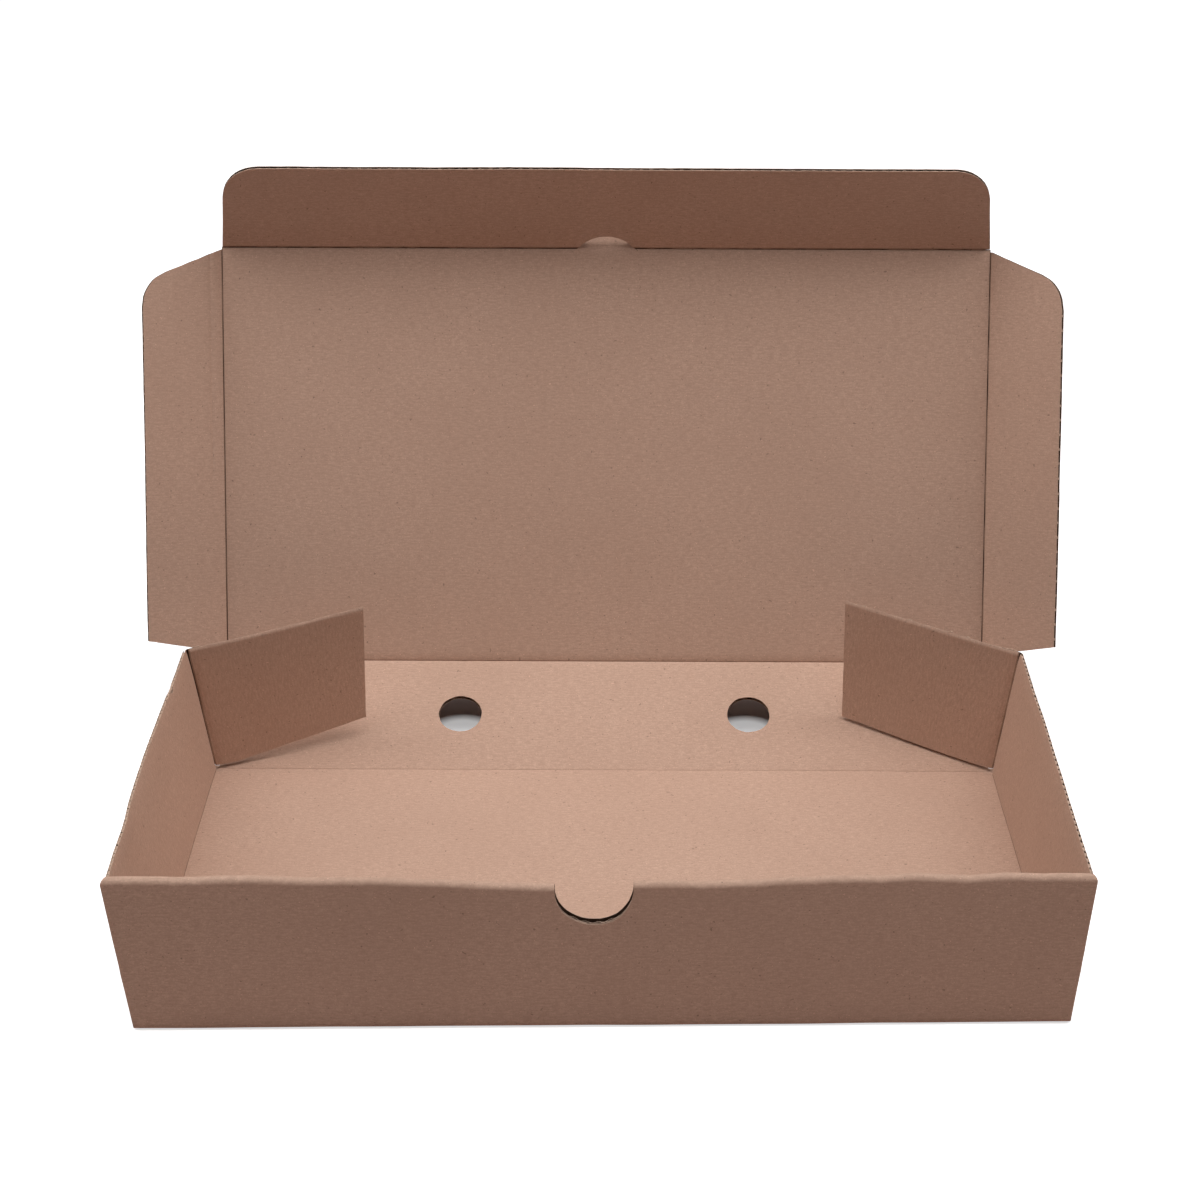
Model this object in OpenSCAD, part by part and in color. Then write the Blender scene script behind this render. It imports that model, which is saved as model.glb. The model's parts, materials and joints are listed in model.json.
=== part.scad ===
// Fish and chips box, folded from one sheet of fine-flute board and standing open.
// The origin is the centre of the floor's underside. X runs along the front, Y to the back, Z up.
// Every fold is sharp on its inside. The side walls flare, the front wall is rolled over to two plies,
// and the loose back wall leans back under the raised lid.

/* [Board] */
// Thickness of the board
board_t = 1.5; // [1.2:0.1:2.5]
// Distance from one flute to the next
flute_pitch = 3.55; // [2.5:0.05:6]
// Thickness of each flat liner
liner_t = 0.25; // [0.2:0.05:0.4]
// Thickness of the waved sheet between the liners
wave_t = 0.2; // [0.15:0.05:0.3]
// Width of the glue line where the waved sheet meets a liner
glue_w = 0.45; // [0.2:0.05:0.8]
// Width of the crushed strip beside a fold, where no flute is open
crease_w = 2; // [1:0.5:6]
// Play between a swinging panel and the panel that it folds from
fold_play = 0.2; // [0.1:0.05:0.4]

/* [Tray] */
// Width of the floor, outside
floor_w = 280; // [230:1:380]
// Depth of the floor, outside
floor_d = 151.5; // [120:0.5:210]
// Height of the side walls along their slope
side_h = 49.5; // [40:0.5:70]
// Flare of the side walls
side_lean = 6; // [0:0.5:8]
// Height of the back wall along its slope
back_h = 49.5; // [40:0.5:70]
// Lean of the back wall, outwards
back_lean = 64; // [20:1:75]
// Gap between the back wall's ends and the side walls' insides, at the floor
back_end_gap = 1; // [0.5:0.5:4]

/* [Rolled front] */
// Height of the front wall along its slope
front_h = 49.5; // [40:0.5:70]
// Lean of the front wall, inwards
front_lean = 3.5; // [0:0.5:8]
// Length of the corner flaps held inside the roll
front_flap_l = 60; // [30:1:90]
// Width of the thumb notch
notch_w = 23; // [16:0.5:40]
// Depth of the thumb notch below the rolled edge
notch_depth = 14; // [12.5:0.5:24]
// Width of each locking tab of the inner ply
lock_w = 33; // [20:1:60]
// Distance between the centres of the two locking tabs
lock_span = 145; // [100:1:180]
// Play round a locking tab in its floor slot
lock_play = 0.6; // [0.3:0.1:1.5]

/* [Vents] */
// Diameter of the steam vents in the back wall
vent_d = 15.5; // [8:0.5:24]
// Distance between the vents' centres
vent_span = 105; // [60:0.5:160]
// Height of the vents' centres along the back wall
vent_h = 25.25; // [18:0.25:34]

/* [Back corner flaps] */
// Reach of a corner flap along its top edge
corner_top_l = 62; // [46:0.5:76]
// Reach of a corner flap along its bottom edge
corner_low_l = 56; // [42:0.5:70]
// Rise of the top edge towards the free end
corner_top_rake = 0.5; // [0:0.5:6]
// Rise of the bottom edge towards the free end
corner_low_rake = 6.5; // [5:0.5:16]
// Level foot of the bottom edge beside the fold
corner_foot_l = 8.5; // [4:0.5:16]
// Clearance of the foot above the floor's fold line
corner_foot_h = 2.2; // [1.8:0.1:4]
// Swing of the left flap past square, to the back
left_corner_swing = 13; // [0:1:24]
// Swing of the right flap past square, to the back
right_corner_swing = 21; // [0:1:24]

/* [Lid] */
// Width of the lid between the ears' folds
lid_w = 279; // [220:1:370]
// Length of the lid from its fold to the tuck flap's fold
lid_l = 151.5; // [110:0.5:210]
// Fold of the lid out of the back wall's plane
lid_turn = 44.5; // [10:0.5:80]
// Width of the lift tab at the tuck flap's fold
tab_w = 20; // [14:0.2:36]
// Height of the lift tab beyond the fold
tab_h = 5.4; // [4:0.2:7]
// Clearance of the hole round the lift tab
tab_play = 0.3; // [0.2:0.1:0.8]

/* [Tuck flap] */
// Length of the tuck flap
tuck_l = 36.5; // [26:0.5:46]
// Taper of the tuck flap's ends
tuck_taper = 7; // [0:0.5:15]
// Radius of the tuck flap's corners
tuck_r = 19; // [5:0.5:24]
// Fold of the tuck flap out of the lid's plane
tuck_fold = 41; // [0:1:90]

/* [Ears] */
// Width of the ears
ear_w = 30; // [22:0.5:44]
// Rise of an ear's bottom edge from root to outer edge
ear_low_rake = 11; // [0:0.5:15]
// Height of the bottom edge's line at the root
ear_low_h = 3; // [1.5:0.1:6]
// Fall of an ear's top edge from root to outer edge
ear_top_rake = 22; // [5:0.5:35]
// Drop of the top edge below the tuck flap's fold, at the root
ear_top_drop = 0.8; // [0.5:0.1:4]
// Radius of an ear's top corner
ear_r = 13.5; // [5:0.5:18]
// Fold of the left ear out of the lid's plane
left_ear_fold = 30; // [0:1:80]
// Fold of the right ear out of the lid's plane
right_ear_fold = 41; // [0:1:80]

/* [Hidden] */
$fn = 64;
kraft = [0.62, 0.49, 0.41];
kraft_inside = [0.66, 0.53, 0.44];
// Overrun of every cut past the face that it goes through
over = 1;

// Folds lie on the boards' middle planes, apart from the folds that swing, which lie on the inside face
half_t = board_t / 2;
fold_x = floor_w / 2 - half_t;
fold_y = floor_d / 2 - half_t;

// The roll has the outer ply, the corner flap's thickness and the inner ply
roll_plies = 3;
roll_r = roll_plies * half_t;
roll_u = front_h - half_t - roll_r;
inner_ply_v = (roll_plies - 1) * board_t;
side_slope = tan(side_lean);
front_slope = tan(front_lean);
notch_u = front_h - half_t - notch_depth + notch_w / 2;
back_w = 2 * (fold_x - half_t - back_end_gap);
corner_y = fold_y - half_t - fold_play;
side_up = side_h - half_t;
back_up = back_h - half_t;

// Half height of the wave, and the sine points that draw one flute
wave_a = half_t - liner_t - wave_t / 2;
wave_steps = 5;

// The lift tab is a segment of this circle
tab_r = (pow(tab_w / 2, 2) + pow(tab_h, 2)) / (2 * tab_h);

// Frames of the leaning and folded panels

module on_front() {
    translate([0, -fold_y, half_t])
        rotate([-front_lean, 0, 0])
            children();
}

module on_side(side) {
    mirror([side < 0 ? 1 : 0, 0, 0])
        translate([fold_x, 0, half_t])
            rotate([0, side_lean, 0])
                children();
}

module on_back() {
    translate([0, fold_y, half_t])
        rotate([-back_lean, 0, 0])
            children();
}

module on_corner_flap(side, swing) {
    on_side(side)
        translate([-half_t, corner_y, 0])
            rotate([0, 0, -swing])
                children();
}

module on_lid() {
    on_back()
        translate([0, 0, back_up])
            rotate([90 + lid_turn, 0, 0])
                children();
}

module on_tuck() {
    on_lid()
        translate([0, lid_l, half_t])
            rotate([tuck_fold, 0, 0])
                children();
}

module on_ear(side, fold) {
    on_lid()
        mirror([side < 0 ? 1 : 0, 0, 0])
            translate([lid_w / 2, 0, half_t])
                rotate([0, -fold, 0])
                    children();
}

// Extrudes an outline drawn in the Y and Z directions, centred on X
module across(width) {
    rotate([90, 0, 90])
        linear_extrude(width, center = true)
            children();
}

// Extrudes an outline drawn in the X and Z directions, centred on Y
module through(depth) {
    rotate([90, 0, 0])
        linear_extrude(depth, center = true)
            children();
}

// One opening between the waved sheet and a liner, drawn across the flutes
function wave_at(k) = -wave_a * cos(360 * k / wave_steps) + wave_t / 2;

module flute_gap() {
    steps = [-wave_steps / 2 : wave_steps / 2];
    open_w = flute_pitch - glue_w;
    polygon([for (k = steps) [open_w * k / wave_steps, wave_at(k)]]);
}

// The openings on both sides of the wave, along a row of whole flutes from 0 to span
module flute_row(span) {
    count = floor(span / flute_pitch);
    for (i = [0 : count - 1])
        translate([(i + 0.5) * flute_pitch, 0]) {
            flute_gap();
            if (i > 0)
                translate([-flute_pitch / 2, 0])
                    mirror([0, 1])
                        flute_gap();
        }
}

// A row of flutes along +Y on a board whose inside face lies at z = 0
module flutes_along_y(span, start, end) {
    translate([0, end, -half_t])
        rotate([90, 0, 0])
            linear_extrude(end - start)
                flute_row(span);
}

// A panel whose inside face lies at z = 0
module panel() {
    translate([0, 0, -board_t])
        linear_extrude(board_t)
            children();
}

module lift_tab_outline(grow) {
    intersection() {
        translate([0, lid_l + tab_h - tab_r])
            circle(r = tab_r + grow);
        translate([-tab_r, lid_l - tab_h])
            square([2 * tab_r, 2 * tab_h + grow]);
    }
}

// Parts of the tray

module floor_panel() {
    slot_v = board_t + 2 * lock_play;
    slot_y = -fold_y + inner_ply_v;
    difference() {
        translate([-fold_x, -fold_y, 0])
            cube([2 * fold_x, 2 * fold_y, board_t]);
        for (s = [-1, 1])
            translate([s * lock_span / 2 - lock_w / 2, slot_y - slot_v / 2, -over])
                cube([lock_w, slot_v, board_t + 2 * over]);
    }
}

// Rounded outsides of the folds at the floor's front and sides
module floor_folds() {
    for (s = [-1, 1])
        translate([s * fold_x, 0, half_t])
            rotate([90, 0, 0])
                cylinder(h = 2 * fold_y, d = board_t, center = true);
    translate([0, -fold_y, half_t])
        rotate([0, 90, 0])
            cylinder(h = 2 * fold_x, d = board_t, center = true);
}

// Back wall and the floor's edge strip as one bent board, seen from the side with the fold at the origin
module back_profile() {
    strip = 2 * board_t;
    mitre = half_t * tan((90 - back_lean) / 2);
    reach = back_up - half_t - fold_play;
    end = reach * [sin(back_lean), cos(back_lean)];
    inward = half_t * [-cos(back_lean), sin(back_lean)];
    polygon([[-strip, -half_t], [mitre, -half_t], end - inward, end + inward, [-mitre, half_t],
             [-strip, half_t]]);
}

module back_wall() {
    difference() {
        translate([0, fold_y, half_t])
            across(back_w)
                back_profile();
        on_back()
            for (s = [-1, 1])
                translate([s * vent_span / 2, 0, vent_h - half_t])
                    rotate([90, 0, 0])
                        cylinder(h = board_t + 2 * over, d = vent_d, center = true);
    }
}

// The front edge follows the rolled front, and the back edge stands upright
module side_wall(side) {
    foot_y = -fold_y + board_t;
    on_side(side)
        across(board_t)
            polygon([[foot_y, 0], [corner_y - fold_play, 0], [corner_y - fold_play, side_up],
                     [foot_y + side_up * front_slope, side_up]]);
}

// Outer ply and half-round roll, seen from the side
module outer_ply_profile() {
    translate([-half_t, 0])
        square([board_t, roll_u]);
    translate([board_t, roll_u])
        difference() {
            circle(r = roll_r);
            circle(r = roll_r - board_t);
            translate([-roll_r, -roll_r])
                square([2 * roll_r, roll_r]);
        }
}

// Front outline between the flared side walls, drawn in from their outsides
module front_outline(inset) {
    foot = floor_w / 2 - inset;
    head = foot + front_h * side_slope;
    polygon([[-foot, 0], [foot, 0], [head, front_h], [-head, front_h]]);
}

module front_wall() {
    full_w = floor_w + 2 * front_h;
    deep = 2 * front_h;
    on_front()
        difference() {
            union() {
                intersection() {
                    across(full_w)
                        outer_ply_profile();
                    through(deep)
                        front_outline(0);
                }
                intersection() {
                    translate([0, inner_ply_v, 0])
                        across(full_w)
                            translate([-half_t, 0])
                                square([board_t, roll_u]);
                    through(deep)
                        front_outline(board_t);
                }
                for (s = [-1, 1])
                    held_corner_flap(s);
            }
            notch_cut();
        }
}

// Front corner flap of a side wall, held between the two plies
module held_corner_flap(side) {
    outer = floor_w / 2;
    inner = outer - front_flap_l;
    translate([0, board_t, 0])
        mirror([side < 0 ? 1 : 0, 0, 0])
            through(board_t)
                polygon([[inner, board_t], [outer, 0], [outer + roll_u * side_slope, roll_u],
                         [inner, roll_u - board_t]]);
}

// Half-round thumb notch through both plies
module notch_cut() {
    translate([0, board_t, notch_u])
        rotate([90, 0, 0])
            cylinder(h = 2 * roll_r + 2 * over, d = notch_w, center = true);
    translate([-notch_w / 2, -roll_r, notch_u])
        cube([notch_w, roll_r + 2 * roll_r + over, front_h]);
}

module tray() {
    color(kraft) {
        floor_panel();
        floor_folds();
        back_wall();
        side_wall(-1);
        side_wall(1);
        front_wall();
    }
}

// Swinging panels

module corner_flap(side, swing) {
    free_top = side_up + corner_top_l * tan(corner_top_rake);
    free_low = corner_foot_h + (corner_low_l - corner_foot_l) * tan(corner_low_rake);
    color(kraft_inside)
        on_corner_flap(side, swing)
            rotate([90, 0, 0])
                mirror([1, 0, 0])
                    difference() {
                        panel()
                            polygon([[fold_play, corner_foot_h], [corner_foot_l, corner_foot_h],
                                     [corner_low_l, free_low], [corner_top_l, free_top],
                                     [fold_play, side_up]]);
                        flutes_of_corner_flap(free_top);
                    }
}

// The flutes run from the fold to the free end
module flutes_of_corner_flap(top) {
    mirror([1, -1, 0])
        flutes_along_y(top, crease_w, corner_top_l + over);
}

module lid() {
    reach = lid_l - fold_play;
    color(kraft)
        on_lid() {
            rotate([0, 90, 0])
                cylinder(h = lid_w, d = board_t, center = true);
            translate([0, 0, half_t])
                difference() {
                    panel() {
                        translate([-lid_w / 2, 0])
                            square([lid_w, reach]);
                        lift_tab_outline(0);
                    }
                    flutes_of_lift_tab();
                }
        }
}

// Flute mouths along the tab's round edge
module flutes_of_lift_tab() {
    span = floor(tab_w / flute_pitch) * flute_pitch;
    translate([-span / 2, 0, 0])
        flutes_along_y(span, lid_l, lid_l + tab_h + over);
}

// Tapered outline with round corners, drawn from its fold at y = 0
module tuck_outline() {
    root = lid_w / 2 - fold_play;
    centre_y = tuck_l - tuck_r;
    centre_x = root - centre_y * tan(tuck_taper) - tuck_r / cos(tuck_taper);
    edge = [centre_x + tuck_r * cos(tuck_taper), centre_y + tuck_r * sin(tuck_taper)];
    root_x = root - fold_play * tan(tuck_taper);
    polygon([[-root_x, fold_play], [root_x, fold_play], edge, [centre_x, tuck_l],
             [-centre_x, tuck_l], [-edge.x, edge.y]]);
    intersection() {
        translate([-root, centre_y])
            square([2 * root, tuck_r]);
        for (s = [-1, 1])
            translate([s * centre_x, centre_y])
                circle(r = tuck_r);
    }
}

module tuck_flap() {
    span = floor(lid_w / flute_pitch) * flute_pitch;
    color(kraft_inside)
        on_tuck()
            difference() {
                panel()
                    difference() {
                        tuck_outline();
                        translate([0, -lid_l])
                            lift_tab_outline(tab_play);
                    }
                translate([-span / 2, 0, 0])
                    flutes_along_y(span, crease_w, tuck_l + over);
            }
}

// Ear outline with one round corner, drawn from its fold at x = 0
module ear_outline() {
    top = lid_l - ear_top_drop;
    low_slope = tan(ear_low_rake);
    centre_x = ear_w - ear_r;
    centre_y = top - centre_x * tan(ear_top_rake) - ear_r / cos(ear_top_rake);
    round_start = [centre_x + ear_r * sin(ear_top_rake), centre_y + ear_r * cos(ear_top_rake)];
    polygon([[fold_play, ear_low_h], [ear_w, ear_low_h + ear_w * low_slope], [ear_w, centre_y],
             round_start, [fold_play, top - fold_play * tan(ear_top_rake)]]);
    translate([centre_x, centre_y])
        circle(r = ear_r);
}

// The flutes run beside the fold, and the outer edge cuts one open along its length
module ear(side, fold) {
    color(kraft_inside)
        on_ear(side, fold)
            difference() {
                panel()
                    ear_outline();
                translate([crease_w, 0, 0])
                    flutes_along_y(ear_w + flute_pitch, -over, lid_l + over);
            }
}

tray();
lid();
tuck_flap();
ear(-1, left_ear_fold);  // left_ear
ear(1, right_ear_fold);  // right_ear
corner_flap(-1, left_corner_swing);  // left_corner_flap
corner_flap(1, right_corner_swing);  // right_corner_flap
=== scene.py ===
"""Dress for an open box folded from fine-flute board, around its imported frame.

Every panel is laid out flat as two liners with a waved sheet between them where a
cut edge shows it, and is then bent along its folds into the place of its node.
"""
import json
import logging
import math
from dataclasses import dataclass, field
from enum import Enum
from typing import Callable, Sequence

import bmesh
import bpy
from mathutils import Matrix, Vector, noise


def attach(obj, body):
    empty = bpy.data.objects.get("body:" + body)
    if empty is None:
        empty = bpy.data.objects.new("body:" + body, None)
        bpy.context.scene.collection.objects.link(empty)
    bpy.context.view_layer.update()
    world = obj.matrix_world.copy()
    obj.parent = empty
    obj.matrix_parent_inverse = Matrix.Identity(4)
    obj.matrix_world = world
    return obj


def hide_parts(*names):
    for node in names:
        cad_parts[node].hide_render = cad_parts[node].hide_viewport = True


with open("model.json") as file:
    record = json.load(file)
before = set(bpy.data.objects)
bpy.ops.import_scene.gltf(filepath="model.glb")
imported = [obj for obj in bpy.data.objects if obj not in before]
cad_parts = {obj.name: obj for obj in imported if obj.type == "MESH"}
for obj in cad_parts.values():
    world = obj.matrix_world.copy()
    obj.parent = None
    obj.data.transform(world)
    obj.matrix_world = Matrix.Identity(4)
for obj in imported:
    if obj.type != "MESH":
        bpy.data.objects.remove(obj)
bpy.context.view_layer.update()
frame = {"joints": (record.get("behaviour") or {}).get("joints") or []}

LOG = logging.getLogger("box")
MM = 0.001
NOISE_SEED = 2
JOINTS = {joint["name"]: joint for joint in frame["joints"]}

Point = tuple[float, float]
Place = Callable[[Vector], Vector]
Span = Callable[[float], Point]
Colour = tuple[float, float, float]
Finishes = Sequence[bpy.types.Material]
Mesh = bmesh.types.BMesh
Socket = bpy.types.NodeSocket
Feeds = dict[str | int, object]


class Side(Enum):
    """Left or right of the box, seen from the front."""

    LEFT = -1
    RIGHT = 1


SWING = {Side.LEFT: math.radians(13), Side.RIGHT: math.radians(21)}
LEAN_BACK = {Side.LEFT: 1.5 * MM, Side.RIGHT: 0.8 * MM}
LEAN_FRONT = {Side.LEFT: 0.2 * MM, Side.RIGHT: 0.4 * MM}
FREE_CORNERS = {
    Side.LEFT: ((55.6 * MM, 9.8 * MM), (60.8 * MM, 52.8 * MM)),
    Side.RIGHT: ((56.8 * MM, 6.4 * MM), (62.8 * MM, 51.5 * MM)),
}
SAME_LINE = 1e-7
FREE_REACH = 22 * MM


class Surface(Enum):
    """Material index of a face of the board."""

    LINER = 0
    CUT = 1
    # painted shade: near-black for the waved sheet and the liner faces inside the flutes, standing
    # in for the shade there
    MEDIUM = 2
    # painted shade: darker colour for the line along each fold
    CREASE = 3


@dataclass(frozen=True)
class Board:
    """Section of the fluted board.

    Args:
        thickness: whole board.
        liner: one flat sheet.
        medium: the waved sheet.
        pitch: from flute to flute.
    """

    thickness: float = 1.5 * MM
    liner: float = 0.26 * MM
    medium: float = 0.18 * MM
    pitch: float = 3.55 * MM


BOARD = Board()
HALF = BOARD.thickness / 2
BRIDGE = BOARD.thickness - 1.6 * BOARD.liner


def spread(start: float, stop: float, step: float) -> list[float]:
    """Evenly spaced values from start to stop, both included, a step or less apart."""
    count = max(1, math.ceil(abs(stop - start) / step - 1e-6))
    return [start + (stop - start) * k / count for k in range(count + 1)]


def around(centre: float, radius: float, count: int) -> list[float]:
    """Values across a circle, closer together towards its sides, with count gaps on each half."""
    return [centre + radius * math.sin(math.pi / 2 * k / count) for k in range(-count, count + 1)]


def merged(*groups: Sequence[float]) -> list[float]:
    """Joins lists of grid lines, dropping lines that nearly coincide.

    Args:
        groups: lists of values; those of a later list win over an earlier one.

    Returns:
        The values in order.
    """
    kept: list[float] = []
    for group in reversed(groups):
        kept += [v for v in group if all(abs(v - k) > 0.05 * MM for k in kept)]
    return sorted(kept)


def cleared(lines: Sequence[float], centre: float, reach: float) -> list[float]:
    """Drops the grid lines within reach of a place that has lines of its own."""
    return [v for v in lines if abs(v - centre) > reach]


def ease(value: float) -> float:
    """Smooth step from 0 to 1."""
    value = min(1.0, max(0.0, value))
    return value * value * (3 - 2 * value)


def hump(value: float, middle: float, width: float) -> float:
    """Smooth hump of height 1 that fades over a width on each side of its middle."""
    return math.exp(-(((value - middle) / width) ** 2))


def crushed(share: float, value: float, end: float, reach: float) -> float:
    """What is left of the board's thickness near an end where a share of it is crushed."""
    return 1 - share * ease((value - end + reach) / reach)


def round_dip(radius: float, across: float) -> float:
    """Depth of a round hole's edge at a place across it."""
    return math.sqrt(max(0.0, radius ** 2 - across ** 2))


def put_in_scene(name: str, data: bpy.types.ID) -> bpy.types.Object:
    """Links new data to the scene.

    Args:
        name: name of the object.
        data: its mesh, lamp or camera.

    Returns:
        The object.
    """
    made = bpy.data.objects.new(name, data)
    bpy.context.scene.collection.objects.link(made)
    return made


def lay_grid(columns: Sequence[float], rows: Sequence[float]) -> Mesh:
    """Lays a flat grid by drawing a row of edges out row by row.

    Args:
        columns: x of the grid lines.
        rows: y of the grid lines.

    Returns:
        The grid as a new mesh.
    """
    bm = bmesh.new()
    first = [bm.verts.new((x, rows[0], 0)) for x in columns]
    edges = [bm.edges.new(pair) for pair in zip(first, first[1:])]
    for before, row in zip(rows, rows[1:]):
        grown = bmesh.ops.extrude_edge_only(bm, edges=edges)["geom"]
        edges = [g for g in grown if isinstance(g, bmesh.types.BMEdge)]
        verts = [g for g in grown if isinstance(g, bmesh.types.BMVert)]
        bmesh.ops.translate(bm, verts=verts, vec=(0, row - before, 0))
    return bm


def trim(bm: Mesh, outline: Sequence[Point]) -> None:
    """Cuts a flat grid back to a convex outline.

    Args:
        bm: grid to cut.
        outline: corners in order, either way round.
    """
    ring = list(outline)
    area = sum(a[0] * b[1] - b[0] * a[1] for a, b in zip(ring, ring[1:] + ring[:1]))
    if area < 0:
        ring.reverse()
    for a, b in zip(ring, ring[1:] + ring[:1]):
        bmesh.ops.bisect_plane(
            bm, geom=bm.verts[:] + bm.edges[:] + bm.faces[:], dist=1e-8,
            plane_co=(a[0], a[1], 0), plane_no=(b[1] - a[1], a[0] - b[0], 0), clear_outer=True)


def drop_faces(bm: Mesh, x: Point, y: Point) -> None:
    """Deletes the faces of a grid inside a rectangle of its lines.

    Args:
        bm: grid to open.
        x: range across.
        y: range along.
    """
    inside = []
    for face in bm.faces:
        mid = face.calc_center_median()
        if x[0] < mid.x < x[1] and y[0] < mid.y < y[1]:
            inside.append(face)
    bmesh.ops.delete(bm, geom=inside, context="FACES")


def arc_rise(half: float, rise: float) -> Callable[[float], float]:
    """Height of a round segment at each place along its chord.

    Args:
        half: half of the chord.
        rise: height of its middle, up to half of the chord.

    Returns:
        Function from the distance from the middle to the height.
    """
    radius = (half * half + rise * rise) / (2 * rise)

    def height(x: float) -> float:
        """Height at a distance from the middle."""
        return max(0.0, math.sqrt(max(0.0, radius * radius - x * x)) - radius + rise)
    return height


def bow_row(bm: Mesh, row: float, centre: float, half: float, rise: float,
            lift: float = 0.0) -> None:
    """Draws part of a grid row out to a round edge.

    Args:
        bm: grid to change.
        row: y of the row.
        centre: middle of the round edge.
        half: half of its width.
        rise: how far its middle moves along y.
        lift: how far the whole part moves first.
    """
    height = arc_rise(half, abs(rise))
    for vert in bm.verts:
        across = vert.co.x - centre
        if abs(vert.co.y - row) < SAME_LINE and abs(across) < 1.0001 * half:
            vert.co.y += lift + math.copysign(height(across), rise)


def rough_edge(bm: Mesh, amount: float, seed: float) -> None:
    """Makes the cut edge of a flat patch slightly uneven.

    Args:
        bm: patch to change.
        amount: largest shift.
        seed: picks the pattern.
    """
    for vert in bm.verts:
        if vert.is_boundary:
            shift = noise.noise_vector(Vector((vert.co.x * 420, vert.co.y * 420, seed)))
            vert.co.x += amount * shift.x
            vert.co.y += amount * shift.y


def thicken(bm: Mesh, depth: float) -> None:
    """Gives a patch its thickness, downwards.

    Args:
        bm: patch to thicken.
        depth: thickness.
    """
    grown = bmesh.ops.extrude_face_region(bm, geom=bm.faces[:], use_keep_orig=True)["geom"]
    lower = [g for g in grown if isinstance(g, bmesh.types.BMVert)]
    bmesh.ops.translate(bm, verts=lower, vec=(0, 0, -depth))
    bmesh.ops.recalc_face_normals(bm, faces=bm.faces[:])


def round_corners(corners: Sequence[tuple[float, float, float]], steps: int = 9) -> list[Point]:
    """Outline with rounded corners.

    Args:
        corners: x, y and corner radius in order.
        steps: straight parts for each rounded corner.

    Returns:
        Points of the outline in order.
    """
    points: list[Point] = []
    for k, (x, y, radius) in enumerate(corners):
        here = Vector((x, y))
        if radius == 0:
            points.append((x, y))
            continue
        back = (Vector(corners[k - 1][:2]) - here).normalized()
        ahead = (Vector(corners[(k + 1) % len(corners)][:2]) - here).normalized()
        half = back.angle(ahead) / 2
        centre = here + (back + ahead).normalized() * radius / math.sin(half)
        first = here + back * radius / math.tan(half) - centre
        last = here + ahead * radius / math.tan(half) - centre
        turn = math.atan2(first.x * last.y - first.y * last.x, first.dot(last))
        for n in range(steps + 1):
            spoke = Matrix.Rotation(turn * n / steps, 2) @ first
            points.append((centre.x + spoke.x, centre.y + spoke.y))
    return points


def span_of(outline: Sequence[Point]) -> Span:
    """Lower and upper limit of an outline at each x.

    Args:
        outline: points in order, with one stretch at each x.

    Returns:
        Function from x to the two limits.
    """
    def limits(x: float) -> Point:
        """Lower and upper limit at one x."""
        cuts = []
        for a, b in zip(outline, list(outline[1:]) + [outline[0]]):
            if min(a[0], b[0]) <= x <= max(a[0], b[0]) and a[0] != b[0]:
                cuts.append(a[1] + (b[1] - a[1]) * (x - a[0]) / (b[0] - a[0]))
        return (min(cuts), max(cuts)) if cuts else (0.0, 0.0)
    return limits


@dataclass(frozen=True)
class PanelFrame:
    """Where a swinging panel lies: along its fold, away from it, and above its inside face.

    Args:
        origin: point of the fold.
        along: direction of the fold.
        out: direction away from the fold.
        normal: direction that the inside face looks in.
        fold_c: height of the fold's axis above the inside face.
        crease: depth of the pressed line at the fold.
        crease_w: half of its width.
    """

    origin: Vector
    along: Vector
    out: Vector
    normal: Vector
    fold_c: float = 0.0
    crease: float = 0.3 * MM
    crease_w: float = 0.7 * MM

    def place(self, flat: Vector) -> Vector:
        """Bends a flat point into place; what lies before the fold curls round its axis.

        Args:
            flat: distance along the fold, away from it, and height.

        Returns:
            The point in the box's frame.
        """
        u, w, c = flat
        if w < 0:
            turn = -w / BOARD.thickness
            drop = c - self.fold_c
            w, c = -abs(drop) * math.sin(turn), self.fold_c + drop * math.cos(turn)
        elif c > -HALF:
            c -= self.crease * hump(w, 0.0, self.crease_w)
        return self.origin + u * self.along + w * self.out + c * self.normal


@dataclass(frozen=True)
class Leg:
    """Straight part of a folded strip, or a bend when it has a radius.

    Args:
        length: length of a straight part.
        turn: angle of a bend, positive to the left.
        radius: radius of a bend on the board's middle plane.
    """

    length: float = 0.0
    turn: float = 0.0
    radius: float = 0.0

    @property
    def reach(self) -> float:
        """Length along the middle plane."""
        return self.length if self.radius == 0 else abs(self.turn) * self.radius


@dataclass(frozen=True)
class FoldPath:
    """Course of a folded strip, seen along its folds.

    Args:
        start: first point on the middle plane.
        heading: first direction as an angle.
        legs: straight parts and bends in order.
        inside: 1 when the inside face is to the left of the course, -1 to the right.
    """

    start: Point
    heading: float
    legs: tuple[Leg, ...]
    inside: int

    def at(self, run: float, height: float) -> Point:
        """Point of the strip.

        Args:
            run: length along the middle plane.
            height: height above the middle plane, to the inside.

        Returns:
            The two coordinates across the folds.
        """
        x, y = self.start
        angle = self.heading
        for k, leg in enumerate(self.legs):
            part = run if k == len(self.legs) - 1 else min(run, leg.reach)
            if leg.radius == 0:
                x, y = x + part * math.cos(angle), y + part * math.sin(angle)
            else:
                arm = math.copysign(leg.radius, leg.turn)
                x, y = x - arm * math.sin(angle), y + arm * math.cos(angle)
                angle += part / arm
                x, y = x + arm * math.sin(angle), y - arm * math.cos(angle)
            run -= part
            if run <= 0:
                break
        rise = self.inside * height
        return x - rise * math.sin(angle), y + rise * math.cos(angle)

    def start_of(self, index: int) -> float:
        """Length along the strip at which the leg of that number begins."""
        return sum(leg.reach for leg in self.legs[:index])

    def rows(self, step: float, bend_rows: int) -> list[float]:
        """Grid lines along the strip.

        Args:
            step: largest distance on straight parts.
            bend_rows: gaps in each bend.

        Returns:
            The lengths in order.
        """
        lines: list[float] = [0.0]
        for k, leg in enumerate(self.legs):
            begin = self.start_of(k)
            gap = leg.reach / bend_rows if leg.radius else step
            lines += spread(begin, begin + leg.reach, gap)[1:]
        return lines


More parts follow.
